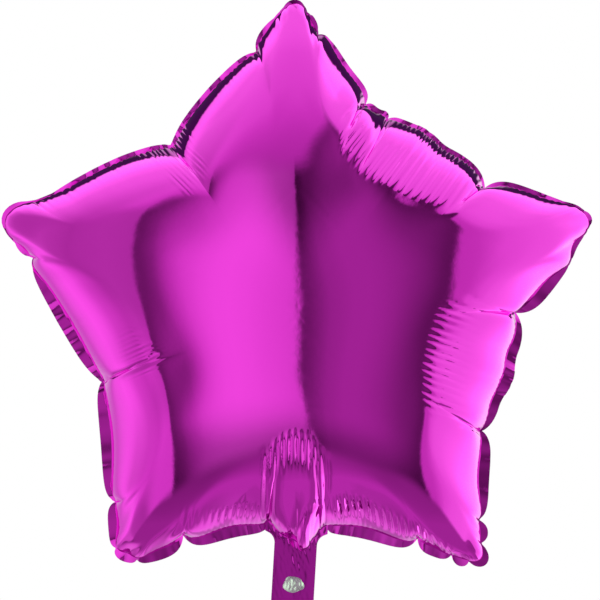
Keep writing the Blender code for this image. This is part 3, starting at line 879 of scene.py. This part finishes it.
def new_material(name, **values):
    material = bpy.data.materials.new(name)
    material.use_nodes = True
    set_inputs(material.node_tree.nodes["Principled BSDF"], **values)
    return material


def varied(material, scale, low, high, height):
    """Roughness between two values and a fine bump, both from noise at one scale."""
    nodes, links = material.node_tree.nodes, material.node_tree.links
    shader = nodes["Principled BSDF"]
    where = nodes.new("ShaderNodeTexCoord")
    grain = set_inputs(nodes.new("ShaderNodeTexNoise"), Scale=scale, Detail=3.0)
    spread = nodes.new("ShaderNodeMapRange")
    set_inputs(spread, From_Min=0.3, From_Max=0.7, To_Min=low, To_Max=high)
    bump = set_inputs(nodes.new("ShaderNodeBump"), Strength=height, Distance=0.0002)
    links.new(where.outputs["Object"], grain.inputs["Vector"])
    links.new(grain.outputs["Fac"], spread.inputs["Value"])
    links.new(spread.outputs["Result"], shader.inputs["Roughness"])
    links.new(grain.outputs["Fac"], bump.inputs["Height"])
    links.new(bump.outputs["Normal"], shader.inputs["Normal"])
    return material


def foil_material(name, colour):
    material = new_material(
        name, Base_Color=colour, Metallic=1.0, Specular_Tint=EDGE_TINT, Coat_Weight=0.25,
        Coat_Roughness=0.05,
    )
    return varied(material, 260.0, 0.045, 0.065, 0.05)


def silver_material():
    material = new_material("silver_lining", Base_Color=SILVER, Metallic=0.9)
    return varied(material, 600.0, 0.15, 0.30, 0.4)


def greenness(tone):
    """The room's bright lights are a little greener than its dim walls."""
    return 0.86 + 0.44 * float(ease((tone - 0.45) / 0.75))


def pale(tone):
    """A bright light on the right or above, whiter than the panel."""
    return (tone, tone * greenness(tone) ** 2, tone)


# The studio, by direction in degrees: across is 0 behind the camera and 180 behind the balloon.
# Behind the camera is a dim wall with a bright panel on its left. The side walls and the ceiling
# are bright, the floor is dim, and the backdrop behind the balloon is white. Each table has places
# and their brightness: the panel's are shares of its width, the ceiling's and the floor's are turns
# up and down from behind the camera, and the others are degrees across.
WALL_LEFT = -45.0
WALL_RIGHT = 43.0
WALL_MIDDLE = 0.0
WALL_TOP = 37.5
WALL_BOTTOM = -43.0
PANEL = (
    (0.0, 0.16), (0.05, 0.18), (0.133, 0.29), (0.244, 0.59), (0.356, 0.84), (0.467, 0.98),
    (0.578, 1.06), (0.689, 1.08), (0.8, 1.04), (0.911, 0.95), (1.0, 0.86),
)
SHADE = (
    (-1, 0.10), (1, 0.16), (5, 0.37), (10, 0.44), (15, 0.44), (20, 0.41), (25, 0.36),
    (30, 0.29), (35, 0.22), (40, 0.145), (44, 0.10), (60, 0.08),
)
WALLS = (
    (-180, 1.0), (-172, 0.90), (-150, 0.74), (-130, 0.78), (-115, 1.05), (-100, 1.22),
    (-90, 1.14), (-78, 0.88), (-62, 0.76), (-52, 0.84), (-46, 0.80), (46, 0.66),
    (52, pale(0.92)), (60, pale(1.03)), (75, pale(1.10)), (90, pale(1.25)), (105, pale(1.60)),
    (120, pale(1.90)), (140, pale(1.65)), (155, 1.25), (165, 1.05), (172, 1.0), (180, 1.0),
)
CEILING = (
    (30, 0.38), (40, 0.50), (45, 0.62), (50, 0.75), (55, pale(0.88)), (60, pale(0.93)),
    (70, pale(1.01)), (80, pale(1.08)), (90, pale(1.12)), (105, pale(1.40)), (120, pale(1.80)),
    (135, pale(1.90)), (180, 1.0),
)
FLOOR = (
    (40, 0.28), (50, 0.38), (60, 0.46), (70, 0.56), (90, 0.56), (105, 0.62), (118, 1.0),
    (130, 1.05), (150, 0.85), (170, 0.80), (180, 1.0),
)
GAP_DARK = (0.055, 0.05, 0.085, 1.0)


class Studio:
    """The room that the foil mirrors, as nodes that turn a direction into a colour."""

    def __init__(self, tree):
        self.tree = tree
        where = tree.nodes.new("ShaderNodeTexCoord")
        split = tree.nodes.new("ShaderNodeSeparateXYZ")
        tree.links.new(where.outputs["Generated"], split.inputs[0])
        self.x, y, self.z = split.outputs
        toward = self.both(y, -1.0)
        self.across = self.degrees("ARCTAN2", self.x, toward)
        self.rise = self.degrees("ARCTAN2", self.z, toward)
        self.up = self.degrees("ARCSINE", self.z)
        self.aside = self.math("ABSOLUTE", self.across)
        self.drop = self.both(self.rise, -1.0)

    def math(self, operation, *values):
        node = self.tree.nodes.new("ShaderNodeMath")
        node.operation = operation
        for socket, value in zip(node.inputs, values):
            if isinstance(value, (int, float)):
                socket.default_value = value
            else:
                self.tree.links.new(value, socket)
        return node.outputs[0]

    def ramp(self, value, low, high, stops):
        """A grey or colour for each value: stops are pairs of value and brightness or colour."""
        node = self.tree.nodes.new("ShaderNodeValToRGB")
        share = self.math("DIVIDE", self.less(value, low), high - low)
        self.tree.links.new(share, node.inputs[0])
        elements = node.color_ramp.elements
        while len(elements) < len(stops):
            elements.new(1.0)
        for element, (at, tone) in zip(elements, stops):
            element.position = (at - low) / (high - low)
            tone = (tone, tone * greenness(tone), tone) if isinstance(tone, (int, float)) else tone
            element.color = (*tone, 1.0)
        return node.outputs["Color"]

    def step(self, value, low, high):
        """0 at low and 1 at high, with a smooth rise between."""
        node = self.tree.nodes.new("ShaderNodeMapRange")
        node.interpolation_type = "SMOOTHSTEP"
        self.tree.links.new(value, node.inputs["Value"])
        set_inputs(node, From_Min=low, From_Max=high)
        return node.outputs["Result"]

    def steps(self, first, *others):
        """1 where every step is. Each is given as its value, low and high."""
        share = self.step(*first)
        for other in others:
            share = self.both(share, self.step(*other))
        return share

    def dim(self, colour, amount, *steps):
        """The colour made darker by the amount where every step is 1."""
        return self.mix(self.both(self.steps(*steps), amount), colour, BLACK)

    def both(self, first, second):
        return self.math("MULTIPLY", first, second)

    def less(self, first, second):
        return self.math("SUBTRACT", first, second)

    def mix(self, share, first, second):
        node = self.tree.nodes.new("ShaderNodeMix")
        node.data_type = "RGBA"
        node.clamp_factor = True
        self.tree.links.new(share, node.inputs["Factor"])
        for socket, value in ((node.inputs[6], first), (node.inputs[7], second)):
            if isinstance(value, tuple):
                socket.default_value = value
            else:
                self.tree.links.new(value, socket)
        return node.outputs[2]

    def degrees(self, operation, *values):
        return self.both(self.math(operation, *values), 180 / math.pi)

    def edge(self, at, low, high, shift):
        """An edge's place across, which moves by the shift from one height to another."""
        return self.math("ADD", self.both(self.step(self.up, low, high), shift), at)

    def past(self, edge, low, high):
        return self.step(self.less(self.across, edge), low, high)

    def over(self, slope, level):
        """How far above a line across the wall, given by its slope and its height in the middle."""
        line = self.math("ADD", self.both(self.across, slope), level)
        return self.less(self.up, line)

    def panel(self, left, middle):
        width = self.less(middle, left)
        share = self.math("DIVIDE", self.less(self.across, left), width)
        panel = self.ramp(share, 0, 1, PANEL)
        panel = self.dim(panel, 0.47, (self.over(-1.1, 3.0), 0, 22))
        panel = self.dim(panel, 0.62, (self.up, -18, -48))
        return self.dim(panel, 0.08, (self.up, 16, 34))

    def shade(self):
        shade = self.ramp(self.across, -1, 60, SHADE)
        shade = self.dim(shade, 0.72, (self.over(1.3, 1.0), 0, 25))
        return self.dim(shade, 0.55, (self.up, -26, -46))

    def side_walls(self):
        """The left one is darker above, and again where it meets the floor."""
        walls = self.ramp(self.across, -180, 180, WALLS)
        upper = (self.across, -44, -46), (self.across, -110, -90), (self.up, -24, -4)
        lower = (self.across, -46, -60), (self.up, -24, -42)
        return self.dim(self.dim(walls, 0.345, *upper), 0.36, *lower)

    def walls(self):
        left = self.edge(WALL_LEFT, -20, -42, 6.0)
        middle = self.edge(WALL_MIDDLE, -8, -30, 1.6)
        right = self.edge(WALL_RIGHT, 37, 47, 8.0)
        front = self.mix(self.past(middle, -0.5, 0.5), self.panel(left, middle), self.shade())
        inside = self.both(self.past(left, -0.8, 0.8), self.past(right, 0.9, -0.9))
        return self.mix(inside, self.side_walls(), front)

    def add_ceiling(self, room):
        """It starts higher on the right of the dim wall, and has a soft edge on the left."""
        top = self.math("ADD", self.both(self.step(self.across, 0, 38), 10.0), WALL_TOP)
        over = self.less(self.up, top)
        sharp, soft = self.step(over, -1.5, 4.5), self.step(over, -14, 22)
        on_left = self.both(self.less(soft, sharp), self.step(self.across, -46, -58))
        share = self.math("ADD", on_left, sharp)
        return self.mix(share, room, self.ramp(self.rise, 30, 180, CEILING))

    def add_floor(self, room):
        """It is darker at its sides. There its edge runs along the lower arms' own direction."""
        sideways = self.degrees("ARCSINE", self.math("ABSOLUTE", self.x))
        floor = self.ramp(self.drop, 40, 180, FLOOR)
        floor = self.dim(floor, 0.24, (sideways, 4, 16), (self.drop, 125, 100))
        floor = self.dim(floor, 0.11, (self.across, -4, -20))
        floor = self.dim(floor, 0.40, (sideways, 22, 34), (self.drop, 85, 110))
        down = self.both(self.z, -1.0)
        tilt = self.degrees("ARCTAN2", down, self.math("ABSOLUTE", self.x))
        low = self.step(self.up, WALL_BOTTOM + 3.0, WALL_BOTTOM - 4.0)
        low = self.math("MAXIMUM", low, self.step(self.aside, 60, 90))
        return self.mix(self.both(low, self.step(tilt, 52, 56)), room, floor)

    def add_gap(self, room):
        """Behind the balloon, a dark gap between the backdrop and the ceiling, with soft folds."""
        gap = self.steps((self.rise, 128, 134), (self.rise, 174, 164), (self.aside, 122, 126))
        eased = self.both(self.step(self.aside, 164, 180), 0.55)
        gap = self.less(gap, self.both(gap, eased))
        room = self.mix(gap, room, GAP_DARK)
        return self.dim(room, 0.38, (self.aside, 158, 167), (self.aside, 178, 169))

    def as_seen(self, room):
        """The camera and glass see a plain white backdrop, and metal sees it straight behind the
        balloon and the room elsewhere. All else is lit by the room's grey."""
        path = self.tree.nodes.new("ShaderNodeLightPath")
        glossy = path.outputs["Is Glossy Ray"]
        plain = path.outputs["Is Camera Ray"], path.outputs["Is Transmission Ray"]
        plain = self.math("MAXIMUM", *plain)
        behind = self.steps((self.aside, 170, 177), (self.math("ABSOLUTE", self.up), 12, 6))
        white = self.math("MAXIMUM", plain, self.both(glossy, behind))
        grey = self.tree.nodes.new("ShaderNodeSeparateColor")
        self.tree.links.new(room, grey.inputs[0])
        shown = self.mix(white, room, WHITE)
        return self.mix(self.math("MAXIMUM", plain, glossy), grey.outputs["Red"], shown)


def studio():
    world = bpy.data.worlds.new("studio")
    bpy.context.scene.world = world
    world.use_nodes = True
    tree = world.node_tree
    light = Studio(tree)
    room = light.add_gap(light.add_floor(light.add_ceiling(light.walls())))
    background = tree.nodes["Background"]
    tree.links.new(light.as_seen(room), background.inputs["Color"])
    background.inputs["Strength"].default_value = 1.0


def add_object(name, data):
    made = bpy.data.objects.new(name, data)
    bpy.context.scene.collection.objects.link(made)
    return made


def floor_and_lamp():
    mesh = bpy.data.meshes.new("floor")
    corners = ((-1, -1), (1, -1), (1, 1), (-1, 1))
    places = [(FLOOR_HALF * x, FLOOR_HALF * y, FLOOR_LEVEL) for x, y in corners]
    mesh.from_pydata(places, [], [(0, 1, 2, 3)])
    mesh.materials.append(new_material("floor", Base_Color=FLOOR_GREY, Roughness=0.9))
    floor = add_object("floor", mesh)
    floor.visible_glossy = False
    lamp = bpy.data.lights.new("overhead", "AREA")
    lamp.size = LAMP_SIZE
    lamp.energy = LAMP_ENERGY
    overhead = add_object("overhead", lamp)
    overhead.location = LAMP_PLACE
    overhead.visible_glossy = False


def camera():
    """Straight on, at the photo's framing."""
    data = bpy.data.cameras.new("camera")
    data.sensor_width = SENSOR_WIDTH
    data.lens = SENSOR_WIDTH * VIEW_DISTANCE / VIEW_WIDTH
    made = add_object("camera", data)
    made.location = (CENTRE[0] + VIEW_SHIFT[0], -VIEW_DISTANCE, CENTRE[1] + VIEW_SHIFT[1])
    made.rotation_euler = (math.pi / 2, 0, 0)
    bpy.context.scene.camera = made


bpy.context.scene.view_settings.view_transform = "Standard"
foil = foil_material("magenta_foil", FOIL)
# The tail gets the same foil with a darker colour, which is painted shade.
painted_shade_tail_foil = foil_material("magenta_tail_painted_shade", TAIL_FOIL_PAINTED_SHADE)
silver = silver_material()
body = foil_body(foil)
tail_x, tail_y, tail_lift = tail_grid()
tail = tail_sheets(tail_x, tail_y, tail_lift, painted_shade_tail_foil)
lining = tail_lining(tail_lift, silver)
for piece in (body, tail, lining):
    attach(piece, "root")
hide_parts("balloon")
studio()
floor_and_lamp()
camera()
